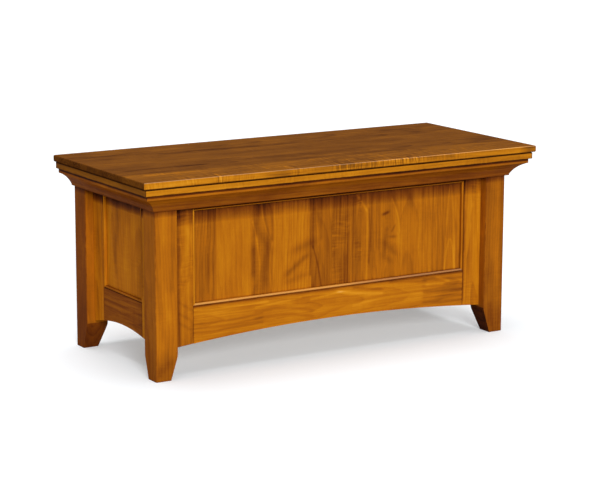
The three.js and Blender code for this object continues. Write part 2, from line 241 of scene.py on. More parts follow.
def buildGrainGroup():
    group, given, out = newGroup(
        "maple_grain",
        {"Grain": (0.0, 0.0, 0.0), "Seed": 0.0, "Lean": 0.0, "Ring Spacing": 0.008},
        ["Rings", "Streaks", "Fibres", "Pores", "Curl", "Patch", "Blotch"],
    )
    shift = {axis: calc(group, "MULTIPLY", given["Seed"], amount)
             for axis, amount in figureRules["shift"].items()}
    place = vectorCalc(group, "ADD", given["Grain"], combine(group, **shift))
    parts = separate(group, given["Grain"])
    root = calc(group, "MULTIPLY_ADD", parts["X"], given["Lean"], parts["Z"])
    radius = vectorCalc(group, "LENGTH", combine(group, Y=parts["Y"], Z=root))
    bend = stretchedNoise(group, place, noises["bend"], detail=3)
    bent = calc(group, "MULTIPLY_ADD", calc(group, "SUBTRACT", bend, 0.5), figureRules["bend"], radius)
    phase = calc(group, "FRACT", calc(group, "DIVIDE", bent, given["Ring Spacing"]))
    late = calc(group, "POWER", phase, figureRules["lateWood"])
    early = ease(group, phase, *figureRules["earlyWood"], 1.0, 0.0)
    pores = stretchedNoise(group, place, noises["pores"], detail=1)
    wave = stretchedNoise(group, place, noises["wave"], detail=1)
    along = calc(group, "MULTIPLY_ADD", wave, figureRules["wave"], parts["X"])
    ripple = combine(group, X=calc(group, "ADD", along, shift["X"]), Y=parts["Y"], Z=parts["Z"])
    patch = stretchedNoise(group, place, noises["patch"], detail=1)
    for label, value in {
        "Rings": calc(group, "MAXIMUM", late, early),
        "Streaks": stretchedNoise(group, place, noises["streaks"], detail=4, roughness=0.72),
        "Fibres": stretchedNoise(group, place, noises["fibres"], detail=2),
        "Pores": ease(group, pores, *figureRules["pores"]),
        "Curl": stretchedNoise(group, ripple, noises["curl"], detail=1),
        "Patch": ease(group, patch, *figureRules["patch"]),
        "Blotch": stretchedNoise(group, place, noises["blotch"], detail=4, roughness=0.6),
    }.items():
        feed(group, out[label], value)
    return group


def buildStainGroup():
    group, given, out = newGroup(
        "stain_tone",
        {
            "Base": 0.5, "Rings": 0.0, "Ring Strength": 0.0, "Streaks": 0.5, "Streak Strength": 0.0,
            "Fibres": 0.5, "Fibre Strength": 0.0, "Pores": 0.0, "Pore Strength": 0.0,
            "Curl": 0.5, "Curl Strength": 0.0, "Blotch": 0.5, "Blotch Strength": 0.0,
            "Glaze And Shade": 0.0, "Glaze Strength": 0.0, "Mark": 0.0,
        },
        ["Tone"],
    )
    tone = given["Base"]
    for label, strength in (("Streaks", "Streak Strength"), ("Fibres", "Fibre Strength"),
                            ("Curl", "Curl Strength"), ("Blotch", "Blotch Strength")):
        centred = calc(group, "SUBTRACT", given[label], 0.5)
        tone = calc(group, "MULTIPLY_ADD", centred, given[strength], tone)
    for label, strength in (("Rings", "Ring Strength"), ("Pores", "Pore Strength"),
                            ("Glaze And Shade", "Glaze Strength")):
        tone = calc(group, "SUBTRACT", tone, calc(group, "MULTIPLY", given[label], given[strength]))
    feed(group, out["Tone"], calc(group, "SUBTRACT", tone, given["Mark"]))
    return group


# How near a point is to the edges of its board: 1 at an edge, 0 from Width inwards
def buildEdgeGroup():
    group, given, out = newGroup(
        "board_edge",
        {"Local": (0.0, 0.0, 0.0), "Half": (1.0, 1.0, 1.0), "Width": 0.004, "Ragged": 0.5},
        ["Edge"],
    )
    inward = vectorCalc(group, "SUBTRACT", given["Half"], vectorCalc(group, "ABSOLUTE", given["Local"]))
    gaps = separate(group, inward)
    lesser = calc(group, "MINIMUM", gaps["X"], gaps["Y"])
    greater = calc(group, "MAXIMUM", gaps["X"], gaps["Y"])
    distance = calc(group, "MAXIMUM", lesser, calc(group, "MINIMUM", greater, gaps["Z"]))
    rag = stretchedNoise(group, given["Local"], (60, 60, 60), detail=2)
    width = calc(group, "MULTIPLY", given["Width"],
                 calc(group, "MULTIPLY_ADD", calc(group, "SUBTRACT", rag, 0.5),
                      calc(group, "MULTIPLY", given["Ragged"], 4.0), 1.0))
    feed(group, out["Edge"], ease(group, distance, 0.0, width, 1.0, 0.0))
    return group


grainGroup = buildGrainGroup()
stainGroup = buildStainGroup()
edgeGroup = buildEdgeGroup()

# Stained maple, dark to light
stainStops = [
    (0.00, (0.040, 0.008, 0.002)),
    (0.15, (0.110, 0.024, 0.003)),
    (0.30, (0.205, 0.051, 0.004)),
    (0.42, (0.305, 0.089, 0.005)),
    (0.54, (0.440, 0.132, 0.005)),
    (0.66, (0.545, 0.188, 0.006)),
    (0.80, (0.680, 0.265, 0.012)),
    (1.00, (0.850, 0.440, 0.100)),
]
# The lid, browner in its dark parts
topStops = [
    (0.00, (0.045, 0.012, 0.002)),
    (0.15, (0.110, 0.034, 0.004)),
    (0.30, (0.185, 0.062, 0.006)),
    (0.42, (0.270, 0.092, 0.006)),
    (0.54, (0.420, 0.142, 0.006)),
    (0.66, (0.560, 0.205, 0.008)),
    (0.80, (0.700, 0.295, 0.018)),
    (1.00, (0.850, 0.450, 0.100)),
]
clearStops = [
    (0.00, (0.160, 0.080, 0.035)),
    (0.30, (0.420, 0.255, 0.125)),
    (0.54, (0.600, 0.410, 0.225)),
    (0.80, (0.700, 0.510, 0.310)),
    (1.00, (0.780, 0.610, 0.420)),
]

mapleLooks = {
    "frame_maple": {
        "stops": stainStops, "streaks": 0.30, "fibres": 0.16, "pores": 0.07,
        "curl": 0.60, "blotch": 0.32,
        "roughness": 0.40, "lacquer": 0.045,
    },
    "panel_maple": {
        "stops": stainStops, "streaks": 0.32, "fibres": 0.20, "pores": 0.07,
        "curl": 0.60, "blotch": 0.32,
        "roughness": 0.40, "lacquer": 0.045,
    },
    "top_maple": {
        "stops": topStops, "streaks": 0.32, "fibres": 0.12, "pores": 0.07,
        "curl": 1.00, "blotch": 0.32,
        "roughness": 0.42, "lacquer": 0.03,
    },
    "inner_maple": {
        "stops": clearStops, "streaks": 0.30, "fibres": 0.14, "pores": 0.06,
        "curl": 0.35, "blotch": 0.20,
        "roughness": 0.52, "lacquer": 0.05,
    },
}

glintLook = {"gloss": 0.5, "bare": 0.6, "wood": (0.80, 0.52, 0.28, 1)}  # a painted glint of pale colour, with more gloss from the lacquer, on rounded edges
sheen = {
    "streaks": 0.25, "pores": 0.10,  # what they add to the roughness
    "dulled": (0.46, 0.60),  # where glaze and painted shade are heaviest, the lacquer has no gloss
    "coat": 0.7,  # the lacquer's roughness beside the wood's
    "poreRelief": -0.6, "relief": 0.35, "reliefDepth": 0.15 * mm,  # pores lie under the fibres
}


def mapleMaterial(name, look):
    material, tree, shader = newMaterial(name)
    board, ring, glazeAndShade = (separate(tree, attribute(tree, label)["Vector"])
                          for label in ("board", "rings", "glazeAndShade"))
    grain = useGroup(tree, grainGroup, {
        "Grain": attribute(tree, "grain")["Vector"], "Seed": board["Z"],
        "Lean": ring["X"], "Ring Spacing": ring["Z"],
    })
    edge = useGroup(tree, edgeGroup, {
        "Local": attribute(tree, "local")["Vector"], "Half": attribute(tree, "half")["Vector"],
        "Width": glazeAndShade["X"],
    })["Edge"]
    figure = calc(tree, "MULTIPLY_ADD", board["Y"], grain["Patch"], glazeAndShade["Z"])
    mark = attribute(tree, "mark")["Fac"]
    streak = attribute(tree, "streak")["Fac"]
    tone = useGroup(tree, stainGroup, {
        "Base": board["X"],
        "Rings": grain["Rings"], "Ring Strength": ring["Y"],
        "Streaks": grain["Streaks"], "Streak Strength": calc(tree, "MULTIPLY", streak, look["streaks"]),
        "Fibres": grain["Fibres"], "Fibre Strength": calc(tree, "MULTIPLY", streak, look["fibres"]),
        "Pores": grain["Pores"], "Pore Strength": look["pores"],
        "Curl": grain["Curl"], "Curl Strength": calc(tree, "MULTIPLY", figure, look["curl"]),
        "Blotch": grain["Blotch"], "Blotch Strength": look["blotch"],
        "Glaze And Shade": edge, "Glaze Strength": glazeAndShade["Y"],
        "Mark": mark,
    })["Tone"]
    glintAndGloss = attribute(tree, "glintAndGloss")["Fac"]  # 0 on a board without it
    glinted = addNode(tree, "ShaderNodeMix", {  # sockets 0, 6 and 7: the share and the two colours
        0: calc(tree, "MULTIPLY", glintAndGloss, glintLook["bare"]),
        6: colourRamp(tree, tone, look["stops"]),
        7: glintLook["wood"],
    }, data_type="RGBA")
    centred = calc(tree, "SUBTRACT", grain["Streaks"], 0.5)
    rough = calc(tree, "MULTIPLY_ADD", centred, sheen["streaks"], look["roughness"])
    dulled = ease(tree, mark, *sheen["dulled"], look["lacquer"], 0.0)
    height = calc(tree, "MULTIPLY_ADD", grain["Pores"], sheen["poreRelief"], grain["Fibres"])
    feedAll(tree, shader, {
        "Base Color": glinted.outputs[2],
        "Roughness": calc(tree, "MULTIPLY_ADD", grain["Pores"], sheen["pores"], rough),
        "Specular IOR Level": 0.0,  # the lacquer over it has all the gloss
        "Coat Weight": calc(tree, "MULTIPLY_ADD", glintAndGloss, glintLook["gloss"], dulled),
        "Coat Roughness": look["roughness"] * sheen["coat"],
        "Normal": relief(tree, height, sheen["relief"], sheen["reliefDepth"]),
    })
    return material


bronze = {
    "cloud": (90, 90, 90), "brush": (60, 1400, 1400), "brushed": 0.25,
    "wear": 0.12, "wearWidth": 1.2 * mm,  # brighter along the edges
    "stops": [
        (0.40, (0.060, 0.036, 0.018)),
        (0.70, (0.125, 0.076, 0.036)),
        (1.00, (0.300, 0.195, 0.095)),
    ],
    "roughness": (0.42, 0.60),
    "tint": (0.45, 0.33, 0.20, 1),  # old bronze stays dark at a slant
}


def bronzeMaterial():
    material, tree, shader = newMaterial("hinge_metal")
    place = addNode(tree, "ShaderNodeTexCoord").outputs["Object"]
    edge = useGroup(tree, edgeGroup, {  # 1 all over a screw, which has neither attribute
        "Local": attribute(tree, "local")["Vector"], "Half": attribute(tree, "half")["Vector"],
        "Width": bronze["wearWidth"],
    })["Edge"]
    cloud = stretchedNoise(tree, place, bronze["cloud"], detail=4)
    brush = stretchedNoise(tree, place, bronze["brush"], detail=2)
    brushed = calc(tree, "MULTIPLY_ADD", brush, bronze["brushed"], cloud)
    wear = calc(tree, "MULTIPLY_ADD", edge, bronze["wear"], brushed)
    feedAll(tree, shader, {
        "Base Color": colourRamp(tree, wear, bronze["stops"]),
        "Roughness": ease(tree, cloud, 0.3, 0.7, *bronze["roughness"]),
        "Specular Tint": bronze["tint"],
        "Metallic": 1.0,
        "Normal": relief(tree, brush, 0.3, 0.05 * mm),
    })
    return material


felt = {
    "fluff": (1500, 1500, 1500),
    "stops": [
        (0.30, (0.030, 0.020, 0.013)),
        (0.70, (0.110, 0.080, 0.055)),
    ],
    "roughness": 0.95, "sheen": 0.4,
}


def feltMaterial():
    material, tree, shader = newMaterial("bumper_felt")
    place = addNode(tree, "ShaderNodeTexCoord").outputs["Object"]
    fluff = stretchedNoise(tree, place, felt["fluff"], detail=4, roughness=0.7)
    feedAll(tree, shader, {
        "Base Color": colourRamp(tree, fluff, felt["stops"]),
        "Roughness": felt["roughness"],
        "Sheen Weight": felt["sheen"],
        "Normal": relief(tree, fluff, 0.8, 0.3 * mm),
    })
    return material


finishes = {name: mapleMaterial(name, look) for name, look in mapleLooks.items()}
finishes["hinge_metal"] = bronzeMaterial()
finishes["bumper_felt"] = feltMaterial()
print("finishes made:", ", ".join(finishes))


# Boards. Each one of a glued-up panel ends at "to", across the grain. Tone is its place on the
# stain's scale, figure the strength of its curl, streak that of its streaks, heart and root the
# middle of its rings.

def glued(*rows):
    return [dict(zip(("to", "tone", "figure", "heart", "root", "rings", "streak"), row)) for row in rows]


gluedBoards = {
    "front_panel": glued(
        (-0.355, 0.52, 0.10, -0.300, 0.060, 0.08),
        (-0.250, 0.60, 0.08, -0.380, 0.110, 0.04, 0.6),
        (-0.185, 0.51, 0.15, -0.216, 0.090, 0.05),
        (-0.065, 0.60, 0.10, -0.010, 0.090, 0.06),
        (0.000, 0.46, 0.15, -0.040, 0.075, 0.06),
        (0.095, 0.49, 0.55, 0.120, 0.070, 0.06),
        (0.170, 0.53, 0.12, 0.086, 0.090, 0.05),
        (0.220, 0.54, 0.20, 0.196, 0.100, 0.05),
        (0.370, 0.56, 0.10, 0.250, 0.110, 0.06),
        (0.500, 0.56, 0.10, 0.392, 0.100, 0.04),
    ),
    "lid_panel": glued(
        (-0.150, 0.77, 0.45, -0.170, 0.060, 0.08),
        (-0.030, 0.68, 0.15, -0.090, 0.045, 0.10),
        (0.095, 0.70, 0.12, 0.150, 0.080, 0.08),
        (0.135, 0.66, 0.15, 0.110, 0.050, 0.08),
        (0.300, 0.70, 0.12, 0.180, 0.060, 0.10),
    ),
    "left_panel": glued(
        (-0.010, 0.56, 0.25, -0.060, 0.050, 0.06, 0.35),
        (0.200, 0.58, 0.15, 0.090, 0.070, 0.05, 0.35),
    ),
    "right_panel": glued(
        (0.050, 0.65, 0.15, -0.040, 0.060, 0.10),
        (0.200, 0.61, 0.20, 0.100, 0.040, 0.12),
    ),
    "back_panel": glued(*((to, tone, 0.15, to - 0.07, root) for to, tone, root in (
        (-0.310, 0.53, 0.05), (-0.190, 0.57, 0.09), (-0.060, 0.52, 0.04), (0.070, 0.56, 0.07),
        (0.180, 0.54, 0.10), (0.310, 0.58, 0.05), (0.500, 0.53, 0.08),
    ))),
    "floor_panel": glued(*((to, tone, 0.10, to - 0.05, root) for to, tone, root in (
        (-0.100, 0.55, 0.06), (0.010, 0.60, 0.04), (0.120, 0.52, 0.09), (0.400, 0.58, 0.05),
    ))),
}
# What the grain does on the boards that show most. Places are given in hundredths of the face
# from its left and its foot, or its front. A light line has a negative dark, and sway is in mm.
hair, thin, broad, wide = 2.4 * mm, 4 * mm, 8 * mm, 12 * mm


def vein(start, end, dark, width=hair, sway=0):
    return {"start": start, "end": end, "dark": dark, "width": width, "sway": sway * mm}


def arch(at, tip, half, dark, width=hair):
    return {"at": at, "tip": tip, "half": half, "dark": dark, "width": width}


figures = {
    "front_panel": {"facing": (1, -1), "spacing": 2.5 * mm, "lines": [
        *(vein((at, 98), (at, 0), 0.07) for at in (3, 5, 7)),
        vein((5, 50), (5, 10), 0.10),
        vein((6, 95), (6, 40), 0.08, wide),
        # the forked figure
        vein((21, 80), (23, 0), -0.13, sway=10),
        vein((23, 98), (22, 70), 0.13, broad),
        vein((21, 50), (21, 25), 0.14, broad),
        vein((24, 98), (27, 60), -0.11, sway=-4),
        vein((25, 98), (27, 60), 0.12, thin, sway=-4),
        vein((27, 98), (28, 60), 0.13, thin, sway=5),
        vein((24, 65), (27, 50), 0.10, wide),
        vein((26, 50), (25, 15), 0.07, wide),
        vein((28, 55), (28, 0), -0.10, sway=-8),
        # the swirl, and the two dark lines beside it
        vein((34, 20), (40, 35), 0.15, broad),
        vein((37, 45), (42, 50), 0.12, wide),
        vein((34, 10), (40, 15), 0.08, broad),
        vein((42, 98), (42, 15), 0.22),
        vein((43, 98), (43, 45), 0.16),
        vein((43, 45), (46, 0), 0.16, sway=3),
        vein((44, 98), (45, 40), -0.08),
        vein((46, 98), (46, 55), 0.08, thin),
        # the curly board and the golden edge of the next one
        *(vein((at, 95), (at, 0), 0.09) for at in (53, 55, 56, 58, 59)),
        vein((55, 25), (55, 0), 0.12, wide),
        vein((60, 95), (63, 80), -0.12, thin),
        vein((63, 80), (63, 0), -0.12, thin, sway=4),
        vein((64, 80), (64, 20), 0.14, sway=4),
        *(vein((at, 95), (at, 35), 0.07) for at in (65, 67, 68)),
        # the knot, and the mottled grain below it
        vein((70, 73), (71, 74), 0.30, thin),
        vein((74, 58), (73, 53), 0.14),
        vein((71, 54), (70, 30), 0.10, broad),
        vein((73, 46), (74, 46), 0.14, thin),
        *(vein((at, up), (at + 1, up - 2), 0.08, broad) for at, up in ((71, 38), (73, 30), (71, 22))),
        vein((74, 75), (76, 40), -0.08, broad),
        vein((73, 88), (76, 52), -0.10, sway=5),
        vein((79, 95), (80, 85), 0.10, wide),
        *(vein((at, 95), (at, 0), 0.08) for at in (85, 87, 89, 91, 93)),
        arch(96, 98, 2, -0.10),
        arch(96, 35, 2, -0.10),
        arch(96, 100, 3, 0.06, thin),
    ]},
    "post_front_left": {"facing": (1, -1), "spacing": 5.0 * mm, "lines": [
        vein((40, 95), (35, 75), -0.08, broad),
        vein((80, 88), (80, 70), 0.12, broad),
        vein((10, 75), (5, 55), 0.07, broad),
        vein((80, 65), (75, 50), 0.09, broad),
        vein((15, 50), (20, 40), 0.08, broad),
        vein((50, 45), (55, 35), -0.07, broad),
        vein((25, 35), (30, 25), 0.08, broad),
        vein((50, 8), (20, 5), 0.08, wide),
    ]},
    "front_stile_left": {"facing": (1, -1), "spacing": 3.0 * mm, "lines": [
        # a painted shadow of the post, down the stile beside it
        vein((25, 98), (23, 2), 0.22, 6 * mm),
        vein((70, 88), (65, 75), -0.08, broad),
        vein((75, 70), (60, 45), -0.10, wide),
        vein((90, 45), (92, 30), 0.10, broad),
        vein((35, 62), (35, 52), 0.10, thin),
        *(vein((35, up), (80, up - 4), 0.08, thin) for up in (28, 21, 15)),
    ]},
    "front_rail_bottom": {"facing": (1, -1), "spacing": 3.0 * mm, "strength": 1.4, "lines": [
        vein((0, 98), (100, 98), 0.20, thin),
        vein((0, 88), (26, 86), -0.11, sway=-2),
        *(vein((0, up), (24, up + 5), 0.09, sway=-4) for up in (52, 40, 28)),
        *(vein((22, up), (42, up - 15), 0.08, thin, sway=8) for up in (62, 45)),
        vein((22, 75), (38, 85), -0.10),
        vein((37, 76), (50, 66), 0.06, broad),
        vein((42, 76), (53, 86), -0.08),
        vein((52, 88), (68, 68), -0.11, thin, sway=-3),
        vein((58, 92), (68, 78), 0.09, thin),
        vein((58, 45), (84, 50), -0.08, thin, sway=6),
        vein((72, 94), (85, 84), 0.09, thin),
        # the golden eye at the right
        vein((86, 72), (92, 70), -0.14, thin),
        vein((90, 90), (94, 78), -0.10, thin),
        *(vein((85, up), (100, up - 6), 0.10, thin) for up in (88, 70, 54, 38, 25)),
    ]},
    "front_stile_right": {"facing": (1, -1), "spacing": 4.0 * mm, "lines": [
        vein((85, 98), (90, 2), -0.08, broad),
        vein((2, 98), (2, 5), 0.30),
        vein((6, 98), (6, 40), 0.12, thin),
        vein((35, 35), (38, 22), 0.07, broad),
    ]},
    "post_front_right": {"facing": (1, -1), "spacing": 6.0 * mm, "lines": [
        vein((12, 95), (35, 30), 0.06, broad, sway=-6),
        vein((15, 35), (10, 25), 0.07, broad),
        vein((65, 90), (70, 30), -0.06, broad),
        vein((85, 85), (90, 25), 0.07, broad),
        vein((35, 15), (45, 5), 0.07, broad),
    ]},
    "left_panel": {"facing": (0, -1), "spacing": 5.0 * mm, "strength": 0.7, "lines": [
        vein((80, 95), (75, 20), 0.15, broad, sway=10),
        vein((70, 90), (75, 40), 0.17, wide),
        vein((45, 70), (50, 30), -0.10, broad),
        vein((92, 60), (96, 25), -0.06, broad),
        vein((40, 95), (38, 80), 0.09, broad),
        vein((25, 75), (22, 25), -0.10, wide),
        vein((25, 95), (25, 70), -0.08, broad),
    ]},
    "left_stile_front": {"facing": (0, -1), "spacing": 4.0 * mm, "lines": [
        vein((95, 95), (95, 30), 0.14, thin),
    ]},
    "lid_panel": {"facing": (2, 1), "spacing": 8.0 * mm, "lines": [
        vein((4, 35), (21, 35), 0.10, broad),
        vein((0, 20), (20, 17), -0.08, wide),
        vein((0, 60), (13, 55), -0.06, wide),
        vein((0, 83), (12, 82), 0.08, wide),
        vein((0, 95), (6, 94), 0.10, wide),
        vein((28, 75), (44, 73), 0.09, wide),
        vein((30, 39), (50, 36), 0.07, wide),
        vein((35, 45), (52, 45), -0.06, wide),
        vein((44, 30), (67, 30), -0.07, wide),
        vein((42, 6), (67, 8), 0.06, wide),
        vein((64, 58), (77, 54), 0.08, wide),
        vein((72, 68), (88, 69), 0.06, wide),
        vein((72, 25), (88, 23), -0.05, wide),
        vein((83, 85), (93, 86), 0.08, wide),
    ]},
}
# Where curl breaks out along the lid's front board: from, to and how strong
curlZones = {
    "lid_panel": [(-0.410, -0.380, 0.5), (-0.190, -0.145, 0.6), (-0.065, 0.220, 0.8)],
}
curlFades = (0.190, 0.265)  # how far in front of the middle it starts and is full
curlRun = 5 * mm  # how fast it comes and goes along the board

plainBoard = {"figure": 0.12, "rings": 0.10, "lean": 0.05, "spacing": 8.5 * mm, "streak": 1.0}

# Everything cut from one board, by the words in its name. Glaze and shade is how wide and how dark it is
# along
# its edges: stain gathered there, and painted shade too, most of all on the rim, beside the lid and the
# crown.
kinds = {
    "post": {"tone": 0.54, "root": (0.05, 0.09), "lean": 0.02, "rings": 0.06, "streak": 0.35,
             "glazeAndShade": (2.4 * mm, 0.22)},
    "stile": {"tone": 0.60, "figure": 0.30, "root": (0.05, 0.10), "lean": 0.03,
              "glazeAndShade": (1.8 * mm, 0.20)},
    "rail": {"tone": 0.60, "root": (0.06, 0.09), "lean": 0.04, "rings": 0.08, "streak": 1.2,
             "glazeAndShade": (2.4 * mm, 0.24)},
    "bead": {"tone": 0.80, "figure": 0.05, "root": (0.05, 0.10), "rings": 0.04,
             "glazeAndShade": (1.0 * mm, 0.0)},
    "crown": {"tone": 0.50, "root": (0.05, 0.10), "rings": 0.05, "glazeAndShade": (1.4 * mm, 0.20)},
    "rim": {"tone": 0.66, "figure": 0.15, "root": (0.04, 0.08), "rings": 0.05,
            "glazeAndShade": (2.6 * mm, 0.55)},
    "cleat": {"tone": 0.56, "root": (0.05, 0.10), "glazeAndShade": (2.0 * mm, 0.10)},
    "batten": {"tone": 0.56, "root": (0.03, 0.06), "glazeAndShade": (2.0 * mm, 0.10)},
    "lid_panel": {"glazeAndShade": (1.2 * mm, 0.10)},
    "_panel": {"glazeAndShade": (3.5 * mm, 0.16)},
}
# Boards that differ from the rest of their kind. The front's lighter bottom bead is partly a painted
# highlight; the ends' darker rails, crowns, rims and front beads are partly painted shade.
tones = {
    "post_front_left": 0.56, "post_front_right": 0.45, "post_rear_left": 0.52,
    "front_stile_left": 0.61, "front_stile_right": 0.60, "front_rail_bottom": 0.65,
    "left_stile_front": 0.65, "left_stile_rear": 0.56, "left_rail_bottom": 0.36, "right_rail_bottom": 0.38,
    "front_bead_bottom": 0.82, "front_bead_left": 0.72, "front_bead_right": 0.62,
    "left_bead_bottom": 0.50, "left_bead_rear": 0.62, "left_bead_front": 0.56, "left_bead_top": 0.60,
    "right_bead_bottom": 0.50, "right_bead_rear": 0.58, "right_bead_front": 0.48, "right_bead_top": 0.60,
    "crown_front": 0.41, "crown_left": 0.36, "crown_right": 0.33, "rim_left": 0.37, "rim_right": 0.34,
}

# Eased edges: width of the round on the edges that show, and on those that close a joint
edges = {
    "open": 1.0 * mm,
    "joint": 0.18 * mm,
    "metal": 0.25 * mm,
    "steepest": math.radians(32),  # rounds flatter than this stay as they are
    "smooth": math.radians(50),
}
wallEnds = {"front": ("left", "right"), "back": ("left", "right"),
            "left": ("front", "rear"), "right": ("front", "rear")}
draw = random.Random(11)


def wallOf(node):
    prefix = node.split("_")[0]
    isWall = any(word in node for word in ("_stile_", "_rail_", "_panel", "_bead_"))
    return prefix if prefix in wallEnds and isWall else None


def grainAxes(node):  # along, across and depth, as axis numbers
    low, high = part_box(node)
    order = sorted(range(3), key=lambda axis: high[axis] - low[axis])
    if node in ("front_panel", "back_panel"):
        return [order[1], order[2], order[0]]
    return [order[2], order[1], order[0]]


# What shows of a board once it is in its wall: without tenons, grooved edges and beads
def visibleBox(node):
    low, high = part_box(node)
    wall = wallOf(node)
    if wall is None or "_stile_" in node or "_bead_" in node:
        return low, high
    side = 0 if wall in ("front", "back") else 1
    spans = [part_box(f"{wall}_stile_{end}") for end in wallEnds[wall]]
    spans.sort(key=lambda span: span[0][side])
    low[side] = spans[0][1][side]
    high[side] = spans[1][0][side]
    if node.endswith("_panel"):
        low.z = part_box(f"{wall}_rail_bottom")[1].z
        high.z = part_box(f"{wall}_rail_top")[0].z
        if wall != "back":
            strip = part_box(f"{wall}_bead_bottom")
            beadWidth = strip[1].z - strip[0].z
            for axis in (side, 2):
                low[axis] += beadWidth
                high[axis] -= beadWidth
    return low, high


def mergedMesh(node):
    mesh = bpy.data.meshes.new(node + "_dressed")
    bm = bmesh.new()
    bm.from_mesh(nodes[node].data)
    bmesh.ops.remove_doubles(bm, verts=bm.verts, dist=1e-6)
    bmesh.ops.dissolve_limit(bm, angle_limit=math.radians(0.5), verts=bm.verts, edges=bm.edges)
    bm.to_mesh(mesh)
    bm.free()
    return mesh


def easeWidth(node, edge):
    if edge.is_boundary or len(edge.link_faces) != 2:
        return 0.0
    if edge.calc_face_angle_signed(0) < edges["steepest"]:
        return 0.0
    if slotOf[node] == "hinge_metal":
        return edges["metal"]
    normals = [face.normal for face in edge.link_faces]
    isStrip = any(word in node for word in ("crown_", "rim_", "_bead_"))
    if isStrip and any(sorted(abs(value) for value in normal)[1] > 0.7 for normal in normals):
        return 0.0  # mitres stay sharp
    if wallOf(node) and not any(normal.z < -0.7 for normal in normals):
        return edges["joint"]
    return edges["open"]


def easeEdges(node, mesh):
    bm = bmesh.new()
    bm.from_mesh(mesh)
    bm.edges.ensure_lookup_table()
    weights = [easeWidth(node, edge) / edges["open"] for edge in bm.edges]
    bm.free()
    mesh.attributes.new("bevel_weight_edge", "FLOAT", "EDGE").data.foreach_set("value", weights)
    piece = addToScene(node + "_dressed", mesh)
    bevel = piece.modifiers.new("eased", "BEVEL")
    bevel.width = edges["open"]
    bevel.segments = 2
    bevel.limit_method = "WEIGHT"
    settle(piece)
    return piece


def settle(piece):
    graph = bpy.context.evaluated_depsgraph_get()
    shown = piece.evaluated_get(graph)
    final = bpy.data.meshes.new_from_object(shown, preserve_all_data_layers=True, depsgraph=graph)
    piece.modifiers.clear()
    piece.data = final
    final.name = piece.name


def cutFlat(bm, parts, axis, place):
    point, normal = Vector((0, 0, 0)), Vector((0, 0, 0))
    point[axis] = place
    normal[axis] = 1
    return bmesh.ops.bisect_plane(bm, geom=parts, plane_co=point, plane_no=normal, dist=1e-7)["geom"]


def cutAcross(mesh, places):  # places: (axis, coordinate) of each cut
    bm = bmesh.new()
    bm.from_mesh(mesh)
    for axis, place in places:
        cutFlat(bm, [*bm.verts, *bm.edges, *bm.faces], axis, place)
    bm.to_mesh(mesh)
    bm.free()


def lookOf(node):
    return kinds[next(word for word in kinds if word in node)]


def boardsOf(node):
    if node in gluedBoards:
        return [{**plainBoard, **board, "seed": draw.uniform(0, 20)} for board in gluedBoards[node]]
    look = {**plainBoard, **lookOf(node)}
    look["tone"] = tones.get(node, look["tone"])
    low, high = visibleBox(node)
    across = grainAxes(node)[1]
    width = high[across] - low[across]
    return [{
        **look,
        "to": 100.0,  # past its own end
        "tone": look["tone"] + draw.uniform(-0.02, 0.02),
        "figure": look["figure"] * draw.uniform(0.6, 1.4),
        "heart": (low[across] + high[across]) / 2 + width * draw.uniform(-0.3, 0.3),
        "root": draw.uniform(*look["root"]),
        "lean": look["lean"] * draw.choice((-1, 1)),
        "seed": draw.uniform(0, 20),
    }]


def step(value, low, high):
    return np.clip((value - low) / (high - low), 0, 1)


def towards(value):  # 1 on faces that look this way, given that part of their normal
    return step(value, 0.5, 0.9)


def faceNormals(mesh, face):
    return np.array([p.normal for p in mesh.polygons])[face]


def writeAttribute(mesh, name, kind, domain, values):
    layer = mesh.attributes.new(name, kind, domain)
    layer.data.foreach_set("value" if kind == "FLOAT" else "vector", np.ravel(values).astype(np.float32))


def meshArrays(mesh):
    points = np.zeros(len(mesh.vertices) * 3)
    mesh.vertices.foreach_get("co", points)
    points = points.reshape(-1, 3)
    corner = np.zeros(len(mesh.loops), int)
    mesh.loops.foreach_get("vertex_index", corner)
    face = np.repeat(np.arange(len(mesh.polygons)), [len(p.vertices) for p in mesh.polygons])
    centre = np.array([p.center for p in mesh.polygons])
    return points, corner, face, centre


def writeGrain(node, mesh, boards):
    points, corner, face, centre = meshArrays(mesh)
    along, across, depth = grainAxes(node)
    low, high = (np.array(value) for value in visibleBox(node))
    middle = (low + high) / 2
    ends = np.array([board["to"] for board in boards])
    owner = np.searchsorted(ends[:-1], centre[:, across])[face]
    value = {key: np.array([board[key] for board in boards])[owner]
             for key in ("tone", "figure", "seed", "heart", "root", "lean", "rings", "spacing", "streak")}
    spot = points[corner]
    layers = {
        "grain": (
            spot[:, along] - middle[along],
            spot[:, across] - value["heart"],
            spot[:, depth] - middle[depth] + value["root"],
        ),
        "board": (value["tone"], value["figure"], value["seed"]),
        "rings": (value["lean"], value["rings"], value["spacing"]),
    }
    for name, parts in layers.items():
        writeAttribute(mesh, name, "FLOAT_VECTOR", "CORNER", np.stack(parts, axis=1))
    writeAttribute(mesh, "streak", "FLOAT", "CORNER", value["streak"])


def writeEdges(node, mesh):
    low, high = (np.array(value) for value in visibleBox(node))
    points = meshArrays(mesh)[0]
    writeAttribute(mesh, "local", "FLOAT_VECTOR", "POINT", points - (low + high) / 2)
    writeAttribute(mesh, "half", "FLOAT_VECTOR", "POINT", np.tile((high - low) / 2, (len(points), 1)))


def writeGlazeAndShade(node, mesh):
    width, dark = lookOf(node)["glazeAndShade"]
    points = meshArrays(mesh)[0]
    curl = np.zeros(len(points))
    for start, end, strength in curlZones.get(node, []):
        spot = points[:, 0]
        along = step(spot, start, start + curlRun) * step(-spot, -end, -end + curlRun)
        curl += strength * along * step(-points[:, 1], *curlFades)
    glazeAndShade = np.stack([np.full(len(points), width), np.full(len(points), dark), curl], axis=1)
    writeAttribute(mesh, "glazeAndShade", "FLOAT_VECTOR", "POINT", glazeAndShade)


